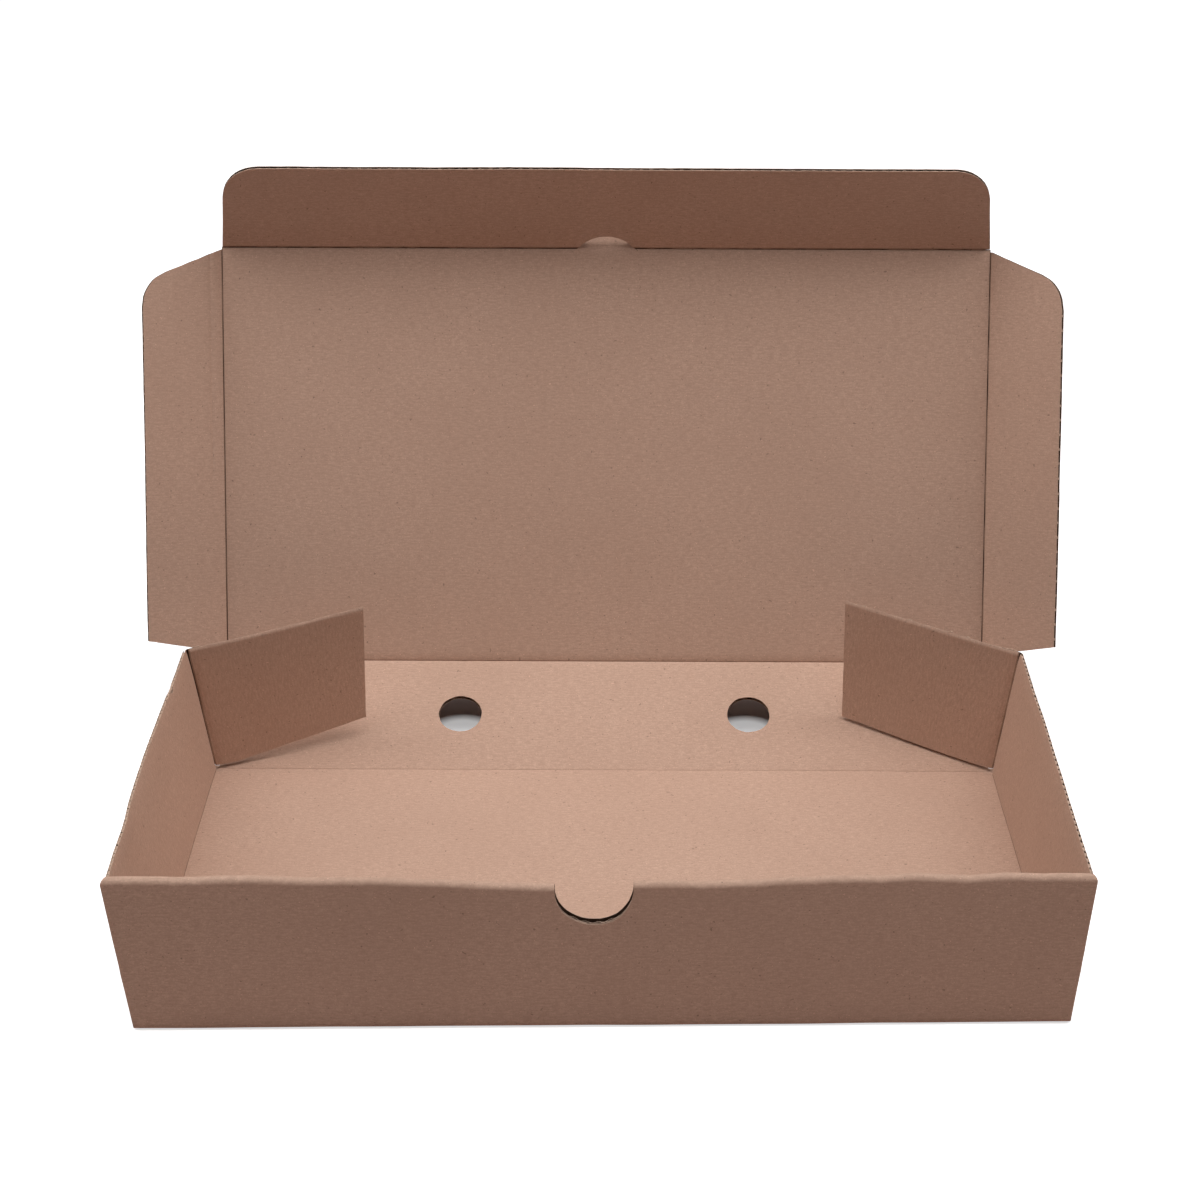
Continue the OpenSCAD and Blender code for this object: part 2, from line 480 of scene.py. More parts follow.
def away_from_folds(point: Vector) -> float:
    """How freely a point may be out of true: 0 at a swinging fold, 1 well away from one.

    Args:
        point: place in the box's frame.

    Returns:
        The share.
    """
    nearest = 1.0
    for joint in JOINTS.values():
        arm = point - Vector(joint["pos_m"])
        axis = Vector(joint["axis"])
        nearest = min(nearest, (arm - axis * arm.dot(axis)).length / FREE_REACH)
    return ease(nearest)


@dataclass
class BoardPiece:
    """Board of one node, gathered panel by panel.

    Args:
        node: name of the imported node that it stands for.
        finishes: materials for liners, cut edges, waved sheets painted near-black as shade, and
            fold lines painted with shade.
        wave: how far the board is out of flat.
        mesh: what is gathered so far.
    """

    node: str
    finishes: Finishes
    wave: float = 0.35 * MM
    mesh: Mesh = field(default_factory=bmesh.new)

    def add(self, part: Mesh, place: Place, turned: bool = False) -> None:
        """Bends a flat part into place and gathers it.

        Args:
            part: flat closed mesh, used up here.
            place: from a flat point to its place.
            turned: true where the flutes run along the flat x.
        """
        layer = part.loops.layers.uv.new("flat")
        for face in part.faces:
            for loop in face.loops:
                x, y = loop.vert.co.x, loop.vert.co.y
                loop[layer].uv = (y, x) if turned else (x, y)
        for vert in part.verts:
            point = place(vert.co)
            free = away_from_folds(point)
            if free > 0:
                bend = noise.noise_vector(point * 13 + Vector((3.1, 0.4, 7.7)))
                ripple = noise.noise_vector(point * 47)
                point = point + free * self.wave * (bend + 0.25 * ripple)
            vert.co = point
        bmesh.ops.recalc_face_normals(part, faces=part.faces[:])
        store = bpy.data.meshes.new("part")
        part.to_mesh(store)
        part.free()
        self.mesh.from_mesh(store)
        bpy.data.meshes.remove(store)

    def add_slab(self, patch: Mesh, top: float, depth: float, place: Place,
                 turned: bool = False, fold: Point = (0.0, 0.0), dark: int = 0) -> None:
        """Thickens a flat patch to a sheet with cut edges and adds it.

        Args:
            patch: flat patch, used up here.
            top: height of its upper face.
            depth: thickness.
            place: from a flat point to its place.
            turned: true where the flutes run along the flat x.
            fold: range of the flat y that gets the painted shade line of a fold.
            dark: 1 when the upper face looks into the flutes, -1 when the lower one does; that face
                gets the near-black painted shade of the flutes.
        """
        for vert in patch.verts:
            vert.co.z = top
        thicken(patch, depth)
        for face in patch.faces:
            flat = abs(face.normal.z) > 0.5
            look = Surface.LINER if flat else Surface.CUT
            # painted shade: a liner face that looks into the flutes gets the near-black flute
            # colour
            if flat and face.normal.z * dark > 0:
                look = Surface.MEDIUM
            # painted shade: the dark line along a fold is painted on the inside face
            elif flat and fold[0] < face.calc_center_median().y < fold[1]:
                look = Surface.CREASE
            face.material_index = look.value
        self.add(patch, place, turned)

    def add_liners(self, patch: Callable[[bool], Mesh], inside: float, place: Place,
                   turned: bool = False, fold: Point = (0.0, 0.0)) -> None:
        """Adds the two liners of a board.

        Args:
            patch: makes a flat patch, for the inside liner when given true.
            inside: height of the board's inside face.
            place: from a flat point to its place.
            turned: true where the flutes run along the flat x.
            fold: range of the flat y that gets the painted shade line of a fold inside.
        """
        for inner in (True, False):
            top = inside if inner else inside - BOARD.thickness + BOARD.liner
            # painted shade: the liner face that looks into the flutes goes near-black, and the
            # inside liner carries the painted shade line of a fold
            line, dark = (fold, -1) if inner else ((0.0, 0.0), 1)
            self.add_slab(patch(inner), top, BOARD.liner, place, turned, line, dark)

    def add_flutes(self, limits: Span, across: Point, inside: float, place: Place,
                   turned: bool = False) -> None:
        """Adds a waved sheet between two liners, painted near-black as the shade inside the flutes,
        with its cut ends in the cut-edge colour.

        Args:
            limits: ends of the flutes at each place across them.
            across: range across the flutes.
            inside: height of the board's inside face.
            place: from a flat point to its place.
            turned: true where the flutes run along the flat x.
        """
        start, end = limits((across[0] + across[1]) / 2)
        shares = spread(0.0, 1.0, min(1.0, 6 * MM / max(1e-6, end - start)))
        sheet = lay_grid(spread(*across, BOARD.pitch / 8), shares)
        high = inside - BOARD.liner
        swing = (BOARD.thickness - 2 * BOARD.liner - BOARD.medium) / 2
        for vert in sheet.verts:
            x, share, _ = vert.co
            low_end, high_end = limits(x)
            vert.co.y = low_end + (high_end - low_end) * share
            vert.co.z = high - swing * (1 - math.cos(2 * math.pi * x / BOARD.pitch))
        thicken(sheet, BOARD.medium)
        # painted shade: the waved sheet is near-black for the shade in the flutes; only its cut
        # ends take the cut-edge colour
        for face in sheet.faces:
            cut = abs(face.normal.y) > 0.8
            face.material_index = (Surface.CUT if cut else Surface.MEDIUM).value
        if turned:
            for vert in sheet.verts:
                vert.co.x, vert.co.y = vert.co.y, vert.co.x
        self.add(sheet, place, turned)

    def add_ticks(self, points: Sequence[Point], size: Vector, inside: float, place: Place) -> None:
        """Adds small crushed bridges between the liners along a cut edge.

        Args:
            points: flat middles of the bridges.
            size: flat size of a bridge.
            inside: height of the board's inside face.
            place: from a flat point to its place.
        """
        for x, y in points:
            jog = noise.noise_vector(Vector((x * 900, y * 900, 5.0)))
            middle = Vector((x + jog.x * 0.5 * MM, y, inside - HALF))
            grow = Matrix.Diagonal(size).to_4x4()
            tick = bmesh.new()
            bmesh.ops.create_cube(tick, size=1.0, matrix=Matrix.Translation(middle) @ grow)
            for face in tick.faces:
                face.material_index = Surface.CUT.value
            self.add(tick, place)

    def make(self) -> bpy.types.Object:
        """Turns the gathered board into a piece that rides its body.

        Returns:
            The finished object.
        """
        data = bpy.data.meshes.new(f"{self.node}_board")
        self.mesh.to_mesh(data)
        self.mesh.free()
        for material in self.finishes:
            data.materials.append(material)
        data.polygons.foreach_set("use_smooth", [True] * len(data.polygons))
        data.set_sharp_from_angle(angle=math.radians(38))
        board = put_in_scene(f"{self.node}_board", data)
        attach(board, self.node)
        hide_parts(self.node)
        LOG.info("%s: %d faces", board.name, len(data.polygons))
        return board


@dataclass
class Tray:
    """Floor, leaning walls and the rolled double front.

    Args:
        fold_x: side folds, from the middle.
        fold_y: front and back folds, from the middle.
        wall: height of the side walls along their slope.
        flare: how far the side walls lean out.
        lean: how far the front leans in.
        bend: radius of the folds on the middle plane.
        roll_u: height of the middle of the rolled top.
        roll_r: radius of the rolled top on the middle plane.
        notch_r: half of the thumb notch's width.
        notch_u: height of the middle of the notch's round bottom.
        notch_x: middle of the notch.
        vent_r: radius of the vents.
        vent_x: middle of the vents, from the middle.
        vent_run: place of the vents along the back wall, from its fold.
        back_lean: how far the back wall leans back.
        back_half: half of the back wall's width.
        slot_x: middle of the locking slots, from the middle.
        slot_w: width of the locking slots.
        slot_in: ends of the locking slots, from the front fold.
        tab_play: play of the locking tabs at each end of their slots.
        side_ends: front and back end of the side walls.
        corner_x: range of the board round the floor's back corners, from the middle.
        corner_y: the same range to the back.
        held_x: range of the front corner flaps, from the middle.
        skew: how far the hand-folded front's ends are out of line.
        pinch: how far the right wall's front is drawn in.
        bulge: how far the left wall stands out at its middle.
    """

    fold_x: float = 139.25 * MM
    fold_y: float = 75 * MM
    wall: float = 48.75 * MM
    flare: float = math.radians(6)
    lean: float = math.radians(3.5)
    bend: float = 1.2 * MM
    roll_u: float = 46.5 * MM
    roll_r: float = 0.95 * MM
    notch_r: float = 11.5 * MM
    notch_u: float = 46.25 * MM
    notch_x: float = -3 * MM
    vent_r: float = 7.75 * MM
    vent_x: float = 52.5 * MM
    vent_run: float = 24.5 * MM
    back_lean: float = math.radians(64)
    back_half: float = 137.5 * MM
    slot_x: float = 72.5 * MM
    slot_w: float = 33 * MM
    slot_in: Point = (2.0 * MM, 4.6 * MM)
    tab_play: float = 0.6 * MM
    side_ends: Point = (-73.5 * MM, 73.85 * MM)
    corner_x: Point = (135.5 * MM, 139.9 * MM)
    corner_y: Point = (72.5 * MM, 76.9 * MM)
    held_x: Point = (80 * MM, 138 * MM)
    skew: float = 2.7 * MM
    pinch: float = 1.6 * MM
    bulge: float = 1.9 * MM

    def set_by_hand(self, point: Vector) -> Vector:
        """Small skew of the hand-folded tray, strongest at its front corners.

        Args:
            point: place on a true tray.

        Returns:
            The place on the folded one.
        """
        front = min(1.0, max(0.0, (self.fold_y - point.y) / (2 * self.fold_y)))
        side = point.x / self.fold_x
        rise = point.z / self.wall
        near = self.skew * side * front
        hand = Side.LEFT if side < 0 else Side.RIGHT
        lean = LEAN_BACK[hand] + (LEAN_FRONT[hand] - LEAN_BACK[hand]) * front
        inward = -self.pinch * front * ease(side)
        if hand is Side.LEFT:
            lean += self.bulge * hump(point.y, -3 * MM, 55 * MM)
        outward = math.copysign(lean, side) * ease((abs(side) - 0.8) / 0.2) + inward
        return point + Vector((rise * outward, near, 0))

    def sagged(self, point: Vector) -> Vector:
        """Uneven top of the rolled front.

        Args:
            point: place on a straight front.

        Returns:
            The place on the hand-rolled one.
        """
        rise = ease(point.z / self.wall - 0.2)
        dip = hump(point.x, -45 * MM, 42 * MM)
        ripple = noise.noise(Vector((point.x * 60, 0, 1.3)))
        ripple += 0.5 * noise.noise(Vector((point.x * 190, 2.0, 0)))
        left = 2.6 * ease((-point.x - 14 * MM) / (45 * MM))
        right = 1.7 * ease((point.x - 8 * MM) / (90 * MM))
        up = rise * MM * (0.5 * ripple - dip + (left + right))
        return point + Vector((0, 0.5 * MM * rise * ripple, up))

    def creased(self, path: FoldPath, flat: Vector, depth: float = 0.25 * MM) -> float:
        """Height of a point over the middle plane, with a pressed line inside the first bend.

        Args:
            path: course of the strip.
            flat: place on the flat strip.
            depth: depth of the line.

        Returns:
            The height.
        """
        if flat.z <= 0:
            return flat.z
        middle = path.start_of(1) / 2
        return flat.z - depth * hump(flat.y, middle, 0.22 * MM)

    def front_path(self) -> FoldPath:
        """Course of the front: out of the floor, up, over the roll and down."""
        turn = math.pi / 2 + self.lean
        cut = self.bend * math.tan(turn / 2)
        return FoldPath(
            (-self.fold_y + cut, HALF), math.pi,
            (Leg(turn=-turn, radius=self.bend), Leg(self.roll_u - cut),
             Leg(turn=-math.pi + 0.024, radius=self.roll_r), Leg(self.roll_u - 1.2 * MM)), -1)

    def back_path(self) -> FoldPath:
        """Course of the leaning back wall up to the lid's fold."""
        turn = math.pi / 2 - self.back_lean
        cut = self.bend * math.tan(turn / 2)
        return FoldPath(
            (self.fold_y - cut, HALF), 0.0,
            (Leg(turn=turn, radius=self.bend), Leg(self.wall - cut - 0.1 * MM)), 1)

    def side_path(self) -> FoldPath:
        """Course of a side wall from the floor to its top."""
        turn = math.pi / 2 - self.flare
        cut = self.bend * math.tan(turn / 2)
        return FoldPath(
            (self.fold_x - cut, HALF), 0.0,
            (Leg(turn=turn, radius=self.bend), Leg(self.wall - cut)), 1)

    def slots(self, play: float = 0.0) -> list[Point]:
        """Left and right ends of the locking slots, or of their tabs.

        Args:
            play: play of a tab at each end of its slot.

        Returns:
            The ends of the left and of the right one.
        """
        half = self.slot_w / 2
        middles = [side.value * self.slot_x for side in Side]
        return [(x - half + play, x + half - play) for x in middles]

    def add_floor(self, piece: BoardPiece) -> None:
        """Adds the floor with the slots for the front's locking tabs.

        Args:
            piece: board to add to.
        """
        side_cut = self.bend * math.tan(math.pi / 4 - self.flare / 2)
        front_cut = self.bend * math.tan(math.pi / 4 + self.lean / 2)
        x_end = self.fold_x - side_cut
        back_cut = self.bend * math.tan(math.pi / 4 - self.back_lean / 2)
        y_ends = (-self.fold_y + front_cut, self.fold_y - back_cut)
        slot_y = (-self.fold_y + self.slot_in[0], -self.fold_y + self.slot_in[1])
        slots = self.slots()
        ends = [x for slot in slots for x in slot]
        columns = merged(spread(-x_end, x_end, 5 * MM), ends, [-x_end, x_end])
        rows = merged(spread(*y_ends, 5 * MM), slot_y, y_ends)
        patch = lay_grid(columns, rows)
        for slot in slots:
            drop_faces(patch, slot, slot_y)
        piece.add_slab(patch, BOARD.thickness, BOARD.thickness, self.set_by_hand)
        top, depth = BOARD.thickness - 0.05 * MM, BOARD.thickness - 0.2 * MM
        for side in Side:
            corner = lay_grid([side.value * x for x in self.corner_x], self.corner_y)
            piece.add_slab(corner, top, depth, self.set_by_hand)

    def add_front(self, piece: BoardPiece) -> None:
        """Adds the rolled front: outer ply, roll, inner ply and locking tabs.

        Args:
            piece: board to add to.
        """
        path = self.front_path()
        base, roll, inner = path.start_of(1), path.start_of(2), path.start_of(3)
        end = path.start_of(4)
        cut = self.roll_u - path.legs[1].length
        low, high = base + self.notch_u - cut, inner + self.roll_u - self.notch_u
        foot = self.fold_x + HALF
        top = foot + self.roll_u * math.tan(self.flare) + 0.6 * MM
        outline = [(-foot, 0.0), (foot, 0.0), (top, roll), (top, inner), (foot, end + 4 * MM),
                   (-foot, end + 4 * MM), (-top, inner), (-top, roll)]
        tabs = self.slots(self.tab_play)
        tab_ends = [x for tab in tabs for x in tab]
        reach = (self.notch_x - self.notch_r, self.notch_x + self.notch_r)
        coarse = cleared(spread(-top, top, 3 * MM), self.notch_x, self.notch_r + 1 * MM)
        fine = around(self.notch_x, self.notch_r, 10)
        columns = merged(coarse, fine, tab_ends, [-top, top])
        near = cleared(path.rows(6 * MM, 12), low - 8 * MM, 7.5 * MM)
        near = cleared(near, high + 8 * MM, 7.5 * MM)
        rows = merged(near, [low, high, end, end + 1.9 * MM])

        def patch(hidden: bool) -> Mesh:
            """Flat liner of the front, cut deeper at the notch where it is hidden."""
            grid = lay_grid(columns, rows)
            drop_faces(grid, reach, (low, high))
            deep = self.notch_r + (0.9 * MM if hidden else 0.0)
            bow_row(grid, low, self.notch_x, self.notch_r, -deep)
            bow_row(grid, high, self.notch_x, self.notch_r, deep)
            edges = [-1.0, *tab_ends, 1.0]
            for gap in zip(edges[0::2], edges[1::2]):
                drop_faces(grid, gap, (end, end + 3 * MM))
            trim(grid, outline)
            rough_edge(grid, 0.12 * MM, 1.0)
            return grid

        def place(flat: Vector) -> Vector:
            """Rolls a flat point up into the front."""
            y, z = path.at(flat.y, flat.z)
            at_end = ease((abs(flat.x) / top - 0.8) / 0.2)
            pinch = 1 - 0.012 * ease((flat.y - roll) / (2.5 * MM)) * at_end
            return self.set_by_hand(self.sagged(Vector((flat.x * pinch, y, z))))

        piece.add_liners(patch, HALF, place)

        def below(x: float) -> Point:
            """Ends of the flutes under the outer ply's notch."""
            dip = round_dip(self.notch_r, x - self.notch_x)
            return low - dip - 6 * MM, low - dip - 0.9 * MM

        def above(x: float) -> Point:
            """Ends of the flutes under the inner ply's notch."""
            dip = round_dip(self.notch_r, x - self.notch_x)
            return high + dip + 0.9 * MM, high + dip + 6 * MM

        piece.add_flutes(below, reach, HALF, place)
        piece.add_flutes(above, reach, HALF, place)

    def add_held_flaps(self, piece: BoardPiece) -> None:
        """Adds the front corner flaps that are held inside the rolled front.

        Args:
            piece: board to add to.
        """
        up = Vector((0, math.sin(self.lean), math.cos(self.lean)))
        inward = Vector((0, math.cos(self.lean), -math.sin(self.lean)))
        root = Vector((0, -self.fold_y, HALF))

        def place(flat: Vector) -> Vector:
            """Stands a flat point up between the front's plies."""
            return self.set_by_hand(root + Vector((flat.x, 0, 0)) + up * flat.y + inward * flat.z)

        rows = [1.5 * MM, 18 * MM, 34 * MM]
        for side in Side:
            patch = lay_grid([side.value * x for x in self.held_x], rows)
            piece.add_slab(patch, 1.5 * MM, 0.7 * MM, place)

    def add_back(self, piece: BoardPiece) -> None:
        """Adds the back wall with its two round vents.

        Args:
            piece: board to add to.
        """
        path = self.back_path()
        end = path.start_of(2)
        mid = end - (self.wall - self.vent_run)
        slit = 0.3 * MM
        vents = (-self.vent_x, self.vent_x)
        columns = spread(-self.back_half, self.back_half, 4 * MM)
        for x in vents:
            columns = merged(cleared(columns, x, self.vent_r + 1 * MM), around(x, self.vent_r, 10))
        near = [mid - slit, mid + slit, mid - 11 * MM, mid + 11 * MM]
        rows = merged(cleared(path.rows(5 * MM, 10), mid, self.vent_r + 1 * MM),
                      [*near, end - 1.2 * MM, end - 0.5 * MM, end])

        def patch(inner: bool) -> Mesh:
            """Flat liner of the wall with its vents."""
            grid = lay_grid(columns, rows)
            for x in vents:
                drop_faces(grid, (x - self.vent_r, x + self.vent_r), (mid - slit, mid + slit))
                bow_row(grid, mid - slit, x, self.vent_r, slit - self.vent_r)
                bow_row(grid, mid + slit, x, self.vent_r, self.vent_r - slit)
            for vert in grid.verts:
                if abs(vert.co.y - end) < SAME_LINE:
                    vert.co.y -= 0.3 * MM * max(0.0, noise.noise(Vector((vert.co.x * 90, 1.7, 0))))
            rough_edge(grid, 0.2 * MM, 2.0 if inner else 3.0)
            return grid

        def place(flat: Vector) -> Vector:
            """Bends a flat point up into the back wall."""
            pinch = crushed(0.45, flat.y, end, 1.2 * MM)
            y, z = path.at(flat.y, self.creased(path, flat) * pinch)
            return self.set_by_hand(Vector((flat.x, y, z)))

        bend = path.start_of(1) / 2
        # the fold range gets the painted shade line along the back wall's fold with the floor
        piece.add_liners(patch, HALF, place, fold=(bend - 0.1 * MM, bend + 0.1 * MM))
        for x in vents:
            for way in (-1, 1):
                def limits(at: float, x: float = x, way: int = way) -> Point:
                    """Ends of the flutes on one side of a vent."""
                    rise = round_dip(self.vent_r, at - x)
                    ends = sorted((mid + way * (rise + 0.2 * MM), mid + way * (rise + 5 * MM)))
                    return ends[0], ends[1]
                piece.add_flutes(limits, (x - self.vent_r, x + self.vent_r), HALF, place)

    def add_side(self, piece: BoardPiece, side: Side) -> None:
        """Adds a side wall with its cut top edge.

        Args:
            piece: board to add to.
            side: which wall.
        """
        path = self.side_path()
        front, back = self.side_ends
        top = path.start_of(2)
        slant = top * math.tan(self.lean)
        outline = [(front, 0.0), (back, 0.0), (back, top), (front + slant, top)]
        columns = spread(front, back, 2 * MM)
        rows = merged(path.rows(5 * MM, 16), [top - 1.5 * MM, top - 0.5 * MM])

        def patch(inner: bool) -> Mesh:
            """Flat liner of the wall, torn at the left one's nick."""
            grid = lay_grid(columns, rows)
            trim(grid, outline)
            rough_edge(grid, 0.16 * MM, side.value * (2.5 if inner else 4.5))
            if side is Side.LEFT:
                for vert in grid.verts:
                    torn = hump(vert.co.x, 46 * MM, 2.6 * MM)
                    bite = 1.3 * MM if inner else 0.6 * MM
                    vert.co.y -= bite * torn * ease((vert.co.y - top + 3 * MM) / (3 * MM))
            return grid

        def place(flat: Vector) -> Vector:
            """Bends a flat point up into the side wall."""
            crush = crushed(0.42, flat.y, top, 2.5 * MM)
            x, z = path.at(flat.y, self.creased(path, flat) * crush)
            point = self.set_by_hand(Vector((side.value * x, flat.x, z)))
            lip = ease((z - 35 * MM) / (14 * MM))
            dent = 0.4 * MM if side is Side.LEFT else 0.0
            buckle = dent * hump(flat.x, -40 * MM, 9 * MM)
            sway = 0.3 * MM * noise.noise(Vector((flat.x * 34, side.value * 4.0, 0)))
            return point + Vector((side.value * lip * (sway - buckle), 0, 0))

        bend = path.start_of(1) / 2
        # range of the painted shade line along the side wall's fold with the floor
        line = (bend - 0.22 * MM, bend + 0.22 * MM)
        piece.add_liners(patch, HALF, place, turned=True, fold=line)
        step = 3.1 * MM if side is Side.RIGHT else 2.3 * MM
        edge = [(y, top - 0.4 * MM) for y in spread(front + slant + 3 * MM, back - 2 * MM, step)]
        piece.add_ticks(edge, Vector((1.9 * MM, 0.5 * MM, BRIDGE)), HALF, place)
        core = lay_grid(columns[4:-1], [top - 3 * MM, top - 1.0 * MM])
        piece.add_slab(core, 0.25 * MM, 0.5 * MM, place, True)

    def build(self, finishes: Finishes) -> bpy.types.Object:
        """Builds the tray.

        Args:
            finishes: materials for liners, cut edges, waved sheets painted near-black as shade, and
                fold lines painted with shade.

        Returns:
            The finished object.
        """
        piece = BoardPiece("tray", finishes)
        self.add_floor(piece)
        self.add_front(piece)
        self.add_held_flaps(piece)
        self.add_back(piece)
        for side in Side:
            self.add_side(piece, side)
        return piece.make()


@dataclass
class Lid:
    """Flat lid with the half-round lift tab that stays in its plane.

    Args:
        half_w: half of the width between the ears' folds.
        length: from its own fold to the tuck flap's.
        tab_half: half of the lift tab's chord.
        lap: how far its outer liner reaches under the ears and the tuck flap.
        tab_rise: how far the tab stands past the fold.
        curl: length of board curled round each fold's axis.
    """

    half_w: float = 139.5 * MM
    length: float = 151.5 * MM
    tab_half: float = 10.5 * MM
    lap: float = 0.35 * MM
    tab_rise: float = 5.4 * MM
    curl: float = 1.5 * MM

    def frame(self) -> PanelFrame:
        """Where the lid lies, from its own fold and an ear's."""
        along = Vector((1, 0, 0))
        out = Vector(JOINTS["left_ear_fold"]["axis"])
        normal = along.cross(out)
        origin = Vector(JOINTS["lid_fold"]["pos_m"]) + normal * BOARD.thickness / 2
        return PanelFrame(origin, along, out, normal, fold_c=-HALF)

    def flap_frame(self, fold_name: str, along: Vector, across: Vector) -> PanelFrame:
        """Where a flap of the lid lies at rest.

        Args:
            fold_name: joint of its fold.
            along: direction of the fold.
            across: direction away from the fold in the lid's plane.

        Returns:
            The frame.
        """
        joint = JOINTS[fold_name]
        fold = -math.radians(joint["range_deg"][0])
        up = self.frame().normal
        out = across * math.cos(fold) + up * math.sin(fold)
        normal = up * math.cos(fold) - across * math.sin(fold)
        return PanelFrame(Vector(joint["pos_m"]), along, out, normal)

    def build(self, finishes: Finishes) -> bpy.types.Object:
        """Builds the lid.

        Args:
            finishes: materials for liners, cut edges, waved sheets painted near-black as shade, and
                fold lines painted with shade.

        Returns:
            The finished object.
        """
        piece = BoardPiece("lid", finishes)
        lies = self.frame()
        side, head = self.half_w - 0.1 * MM, self.length - 0.1 * MM
        coarse = cleared(spread(-side, side, 4 * MM), 0.0, self.tab_half + 1 * MM)
        edges = [-side, -side + 1 * MM, side - 1 * MM, side]
        columns = merged(coarse, around(0.0, self.tab_half, 10), edges)
        curled = [-share * self.curl for share in (1.0, 0.75, 0.5, 0.25)]
        rows = merged([*curled, 0.0, 0.5 * MM, 1.2 * MM],
                      spread(4 * MM, head - 4 * MM, 4 * MM), [head - 1 * MM, head])

        def patch(inner: bool) -> Mesh:
            """Flat liner of the lid with its tab."""
            grid = lay_grid(columns, rows)
            bow_row(grid, head, 0.0, self.tab_half, self.tab_rise)
            for vert in [v for v in grid.verts if not inner and v.co.y > 3 * MM]:
                if abs(vert.co.x) > side - 0.01 * MM:
                    vert.co.x += math.copysign(self.lap, vert.co.x)
                if vert.co.y > head - 0.01 * MM and abs(vert.co.x) > self.tab_half:
                    vert.co.y += self.lap - 0.12 * MM
            return grid

        def place(flat: Vector) -> Vector:
            """Puts a flat point in place, pressed down along the folds."""
            if flat.z < -HALF and (abs(flat.x) > side or flat.y > head):
                flat = flat + Vector((0, 0, 0.15 * MM))
            if flat.z > -HALF and flat.y > 0:
                gap = side - abs(flat.x)
                if abs(flat.x) > self.tab_half:
                    gap = min(gap, head - flat.y)
                press = 0.28 * MM * hump(gap, 0.0, 0.6 * MM)
                flat = Vector((flat.x, flat.y, flat.z - press))
            return lies.place(flat)

        # the fold range gets the painted shade line along the lid's fold
        piece.add_liners(patch, 0.0, place, fold=(-0.2 * MM, 0.5 * MM))
        rise = arc_rise(self.tab_half, self.tab_rise)

        def tab(x: float) -> Point:
            """Ends of the flutes in the tab."""
            return head - 6 * MM, head + rise(x) - 0.15 * MM

        piece.add_flutes(tab, (-self.tab_half, self.tab_half), 0.0, lies.place)
        return piece.make()


@dataclass
class TuckFlap:
    """Flap at the lid's free edge, cut round the lift tab.

    Args:
        lid: the lid that carries it.
        half_w: half of its width at the fold.
        length: from the fold to the free edge.
        taper: how far its sides run in.
        corner: radius of its corners.
        play: gap round the lift tab.
        curl: length of board curled round the fold's axis.
    """

    lid: Lid
    half_w: float = 139.3 * MM
    length: float = 34.9 * MM
    taper: float = math.radians(7)
    corner: float = 14 * MM
    play: float = 0.1 * MM
    curl: float = 1.75 * MM

    def build(self, finishes: Finishes) -> bpy.types.Object:
        """Builds the flap.

        Args:
            finishes: materials for liners, cut edges, waved sheets painted near-black as shade, and
                fold lines painted with shade.

        Returns:
            The finished object.
        """
        piece = BoardPiece("tuck_flap", finishes)
        flat_lid = self.lid.frame()
        lies = self.lid.flap_frame("tuck_fold", flat_lid.along, flat_lid.out)
        tip = self.half_w - self.length * math.tan(self.taper)
        outline = round_corners([
            (-self.half_w, 0, 0), (self.half_w, 0, 0), (tip, self.length, self.corner),
            (-tip, self.length, self.corner)])
        hole = self.lid.tab_half - 0.5 * MM + self.play
        coarse = cleared(spread(-self.half_w, self.half_w, 3 * MM), 0.0, hole + 1 * MM)
        columns = merged(coarse, around(0.0, hole, 10), [-self.half_w, self.half_w])
        far_rows = cleared(spread(0.0, self.length, 4 * MM), 4.5 * MM, 4.3 * MM)
        flat_rows = merged([0.0, 0.5 * MM, 1.2 * MM], far_rows)

        def patch(inner: bool) -> Mesh:
            """Flat liner of the flap with its hole."""
            if inner:
                grid = lay_grid(columns, flat_rows)
                corners = outline
            else:
                grid = lay_grid(columns, merged(spread(-self.curl, 0.0, self.curl / 5), flat_rows))
                inset = self.half_w - 3 * MM
                corners = [(-inset, -self.curl), (inset, -self.curl)] + outline[1:] + outline[:1]
            drop_faces(grid, (-hole, hole), (-1.0, 0.0))
            for row in flat_rows[:3]:
                bow_row(grid, row, 0.0, hole, self.lid.tab_rise, lift=self.play)
            trim(grid, corners)
            if inner:
                for vert in grid.verts:
                    vert.co.y += 0.1 * MM * ease(vert.co.y / self.length - 0.5)
            rough_edge(grid, 0.1 * MM, 6.0 if inner else 8.0)
            return grid

        # the fold range gets the painted shade line along the tuck flap's fold
        piece.add_liners(patch, 0.0, lies.place, fold=(0.0, 0.45 * MM))
        span = span_of(outline)
        rise = arc_rise(hole, self.lid.tab_rise)

        def limits(x: float) -> Point:
            """Ends of the flutes at one place along the fold."""
            root = self.play + rise(x) if abs(x) < hole else 0.0
            return root + 0.2 * MM, max(root + 0.3 * MM, span(x)[1] - 0.45 * MM)

        piece.add_flutes(limits, (-self.half_w + 1 * MM, self.half_w - 1 * MM), 0.0, lies.place)
        return piece.make()


